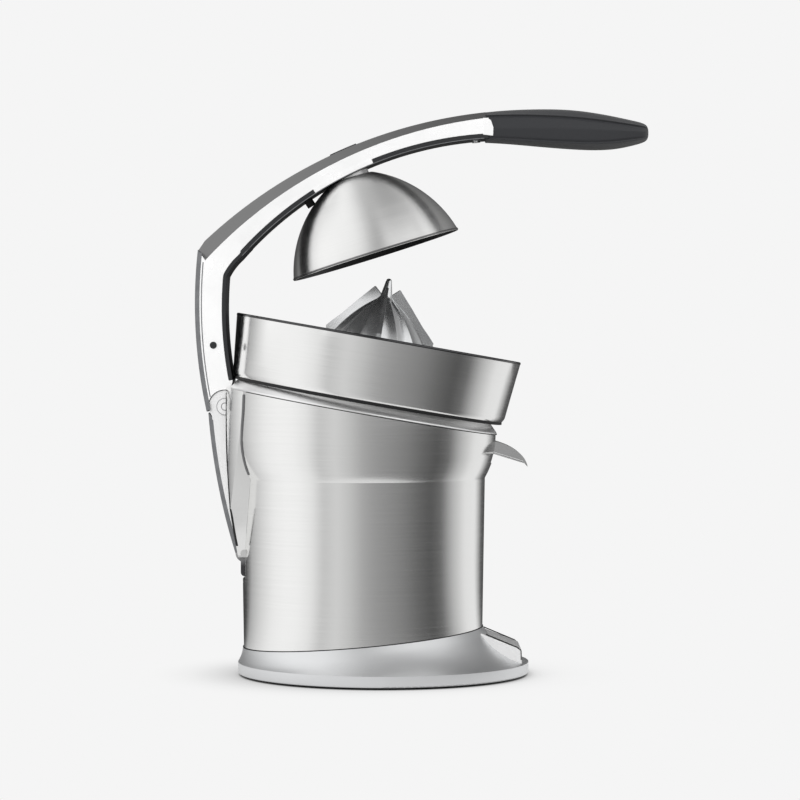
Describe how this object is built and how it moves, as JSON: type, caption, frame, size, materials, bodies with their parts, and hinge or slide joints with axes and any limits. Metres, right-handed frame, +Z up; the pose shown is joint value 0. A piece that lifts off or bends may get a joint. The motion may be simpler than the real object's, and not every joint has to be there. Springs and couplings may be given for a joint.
{
  "type": "citrus press juicer",
  "caption": "Electric lever citrus press: steel body on a flared base, tilted bowl with a driven reamer cone, flip spout and a domed lever arm on a two-axis hinge.",
  "frame": {"origin": "on the counter plane, on the vertical axis of the round body, in the machine's middle plane", "axes": "+Z up, +X towards the spout and the hand grip, +Y across the machine, away from the camera"},
  "size_m": [0.3298, 0.212, 0.4123],
  "materials": {
    "shell_steel": "brushed",
    "cast_metal": "satin",
    "bright_metal": "polished",
    "grip_plastic": "matte",
    "trim_plastic": "matte",
    "inner_plastic": "matte",
    "gear_plastic": "matte",
    "switch_plastic": "satin",
    "soft_rubber": "matte",
    "bearing_brass": "satin",
    "painted_sheet": "satin",
    "core_iron": "dull"
  },
  "bodies": {
    "housing": {"foot_ring": "soft_rubber", "base_plate": "painted_sheet", "base_casting": "cast_metal", "plate_screw_1": "bright_metal", "plate_screw_2": "bright_metal", "plate_screw_3": "bright_metal", "plate_screw_4": "bright_metal", "front_ramp": "cast_metal", "body_shell": "shell_steel", "rear_housing": "shell_steel", "hinge_pin": "bright_metal", "top_collar": "shell_steel", "deck": "inner_plastic", "bowl": "shell_steel", "strainer": "shell_steel", "bush_upper": "bearing_brass", "bush_lower": "bearing_brass", "shaft_seal": "soft_rubber", "gearbox_cover": "cast_metal", "gearbox_housing": "cast_metal", "gearbox_screw_1": "bright_metal", "gearbox_screw_2": "bright_metal", "gearbox_screw_3": "bright_metal", "gearbox_screw_4": "bright_metal", "idler_axle": "bright_metal", "motor_can": "painted_sheet", "stator": "core_iron", "motor_bush_upper": "bearing_brass", "motor_bush_lower": "bearing_brass", "microswitch": "switch_plastic", "switch_bracket": "painted_sheet", "cord_gland": "soft_rubber"},
    "reamer": {"cone": "bright_metal", "output_shaft": "bright_metal", "output_gear": "gear_plastic"},
    "idler": {"idler_gear": "gear_plastic"},
    "rotor": {"rotor": "core_iron", "motor_pinion": "bearing_brass"},
    "spout": {"spout": "bright_metal"},
    "plunger": {"plunger": "gear_plastic"},
    "link": {"lower_link": "bright_metal", "link_strip": "trim_plastic", "pivot_pin": "bright_metal", "washer_near": "bright_metal", "washer_far": "bright_metal", "return_spring": "bright_metal"},
    "arm": {"arm_casting": "bright_metal", "arm_cover": "shell_steel", "arm_strip": "trim_plastic", "arm_under": "trim_plastic", "grip": "grip_plastic", "dome_hub": "bright_metal", "dome": "shell_steel", "dome_liner": "inner_plastic", "hub_cap": "trim_plastic", "plug_near": "trim_plastic", "plug_far": "trim_plastic", "arm_screw": "bright_metal", "bumper": "soft_rubber"}
  },
  "joints": [
    {"name": "link_swing", "type": "hinge", "parent": "housing", "child": "link", "pos_m": [-0.0854, 0, 0.0895], "axis": [0, 1, 0], "range_deg": [-19.4, 0]},
    {"name": "press", "type": "hinge", "parent": "link", "child": "arm", "pos_m": [-0.0996, 0, 0.1956], "axis": [0, 1, 0], "range_deg": [0, 44], "stiffness_Nm_per_rad": 2, "springref_deg": -114.59},
    {"name": "cone_spin", "type": "hinge", "parent": "housing", "child": "reamer", "pos_m": [0.0022, 0, 0.1917], "axis": [0.1736, 0, 0.9848], "continuous": true},
    {"name": "idler_spin", "type": "hinge", "parent": "housing", "child": "idler", "pos_m": [0.0022, 0.04, 0.1917], "axis": [0.1736, 0, 0.9848], "continuous": true},
    {"name": "rotor_spin", "type": "hinge", "parent": "housing", "child": "rotor", "pos_m": [0.0022, 0, 0.1917], "axis": [0.1736, 0, 0.9848], "continuous": true},
    {"name": "spout_flip", "type": "hinge", "parent": "housing", "child": "spout", "pos_m": [0.085, 0, 0.1665], "axis": [0, 1, 0], "range_deg": [-22, 0]},
    {"name": "plunger_slide", "type": "slide", "parent": "housing", "child": "plunger", "axis": [1, 0, 0], "range_m": [0, 0.0047]}
  ],
  "couplings": [
    {"joint": "link_swing", "follows": "press", "ratio": -0.44},
    {"joint": "idler_spin", "follows": "cone_spin", "ratio": -3},
    {"joint": "rotor_spin", "follows": "cone_spin", "ratio": 12},
    {"joint": "plunger_slide", "follows": "press", "m_per_rad": 0.0061}
  ]
}
